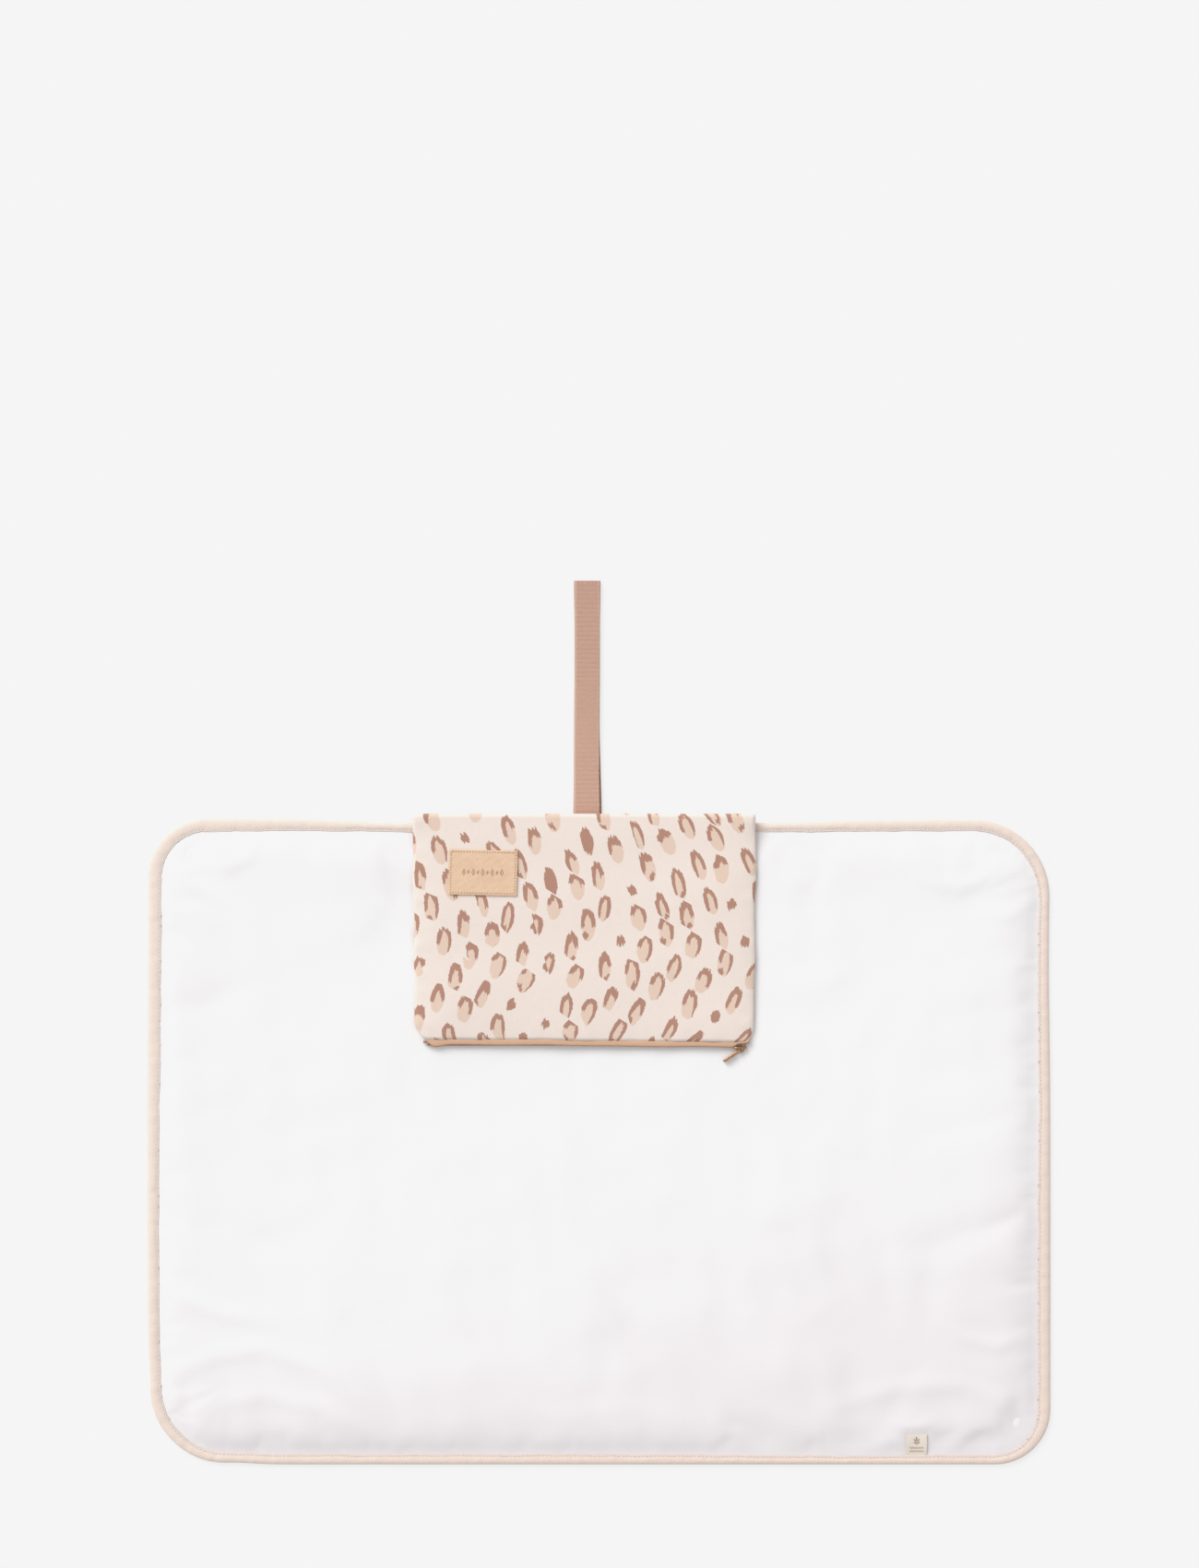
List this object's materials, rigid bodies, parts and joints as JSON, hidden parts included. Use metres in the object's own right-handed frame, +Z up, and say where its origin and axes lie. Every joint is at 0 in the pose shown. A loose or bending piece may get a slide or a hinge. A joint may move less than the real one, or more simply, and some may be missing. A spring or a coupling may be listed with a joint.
{
  "type": "changing pad",
  "caption": "Padded travel changing mat with bound edges, folding side panels, a zipped pouch folded over its top edge and an elastic strap loop to hold it closed.",
  "frame": {"origin": "centre of the mat's flat underside", "axes": "+X along the mat's longer side, +Y towards the pouch's fold and the strap, +Z up out of the white side"},
  "size_m": [0.7, 0.686, 0.014],
  "materials": {
    "cover_cloth": "smooth coated white cotton",
    "print_cloth": "plain-weave cotton with a brush-stroke print",
    "wadding": "soft polyester wadding",
    "binding_cloth": "woven bias binding",
    "lining_cloth": "smooth coated lining",
    "zip_tape": "woven tape",
    "zip_coil": "satin nylon",
    "zip_metal": "polished light bronze",
    "label_leather": "smooth tan",
    "strap_elastic": "ribbed woven elastic",
    "woven_tab": "woven damask"
  },
  "bodies": {
    "mat_centre": {"top_cover_centre": "cover_cloth", "back_cover_centre": "print_cloth", "padding_centre": "wadding", "binding_top_centre": "binding_cloth", "binding_bottom_centre": "binding_cloth", "pouch_hinge_strip": "print_cloth", "strap_root": "strap_elastic"},
    "left_wing": {"top_cover_left": "cover_cloth", "back_cover_left": "print_cloth", "padding_left": "wadding", "binding_left": "binding_cloth"},
    "right_wing": {"top_cover_right": "cover_cloth", "back_cover_right": "print_cloth", "padding_right": "wadding", "binding_right": "binding_cloth"},
    "pouch": {"pouch_front": "print_cloth", "pouch_back": "print_cloth", "pouch_lining_front": "lining_cloth", "pouch_lining_back": "lining_cloth", "zip_tape_front": "zip_tape", "zip_tape_back": "zip_tape", "zip_teeth_front": "zip_coil", "zip_teeth_back": "zip_coil", "zip_stop_left": "zip_coil", "zip_stop_right": "zip_coil", "leather_label": "label_leather"},
    "strap": {"strap_loop": "strap_elastic"},
    "zip_slider": {"zip_slider": "zip_metal"},
    "zip_pull": {"zip_pull": "zip_metal"},
    "care_tab": {"care_tab": "woven_tab"}
  },
  "joints": [
    {"name": "left_wing_fold", "type": "hinge", "parent": "mat_centre", "child": "left_wing", "pos_m": [-0.1498, 0, 0.01155], "axis": [0, 1, 0], "range_deg": [0, 180]},
    {"name": "right_wing_fold", "type": "hinge", "parent": "mat_centre", "child": "right_wing", "pos_m": [0.1262, 0, 0.0158], "axis": [0, -1, 0], "range_deg": [0, 180]},
    {"name": "pouch_flap", "type": "hinge", "parent": "mat_centre", "child": "pouch", "pos_m": [-0.0118, 0.2525, 0.00815], "axis": [-1, 0, 0], "range_deg": [0, 180]},
    {"name": "strap_swing", "type": "hinge", "parent": "mat_centre", "child": "strap", "pos_m": [-0.01, 0.256, 0.00815], "axis": [1, 0, 0], "range_deg": [0, 180]},
    {"name": "zip_slide", "type": "slide", "parent": "pouch", "child": "zip_slider", "axis": [-1, 0, 0], "range_m": [0, 0.238]},
    {"name": "pull_swing", "type": "hinge", "parent": "zip_slider", "child": "zip_pull", "pos_m": [0.1093, 0.0719, 0.0095], "axis": [0, 0, 1], "range_deg": [-28, 140]},
    {"name": "tab_flip", "type": "hinge", "parent": "right_wing", "child": "care_tab", "pos_m": [0.2457, -0.2438, 0.006], "axis": [1, 0, 0], "range_deg": [0, 170]}
  ]
}
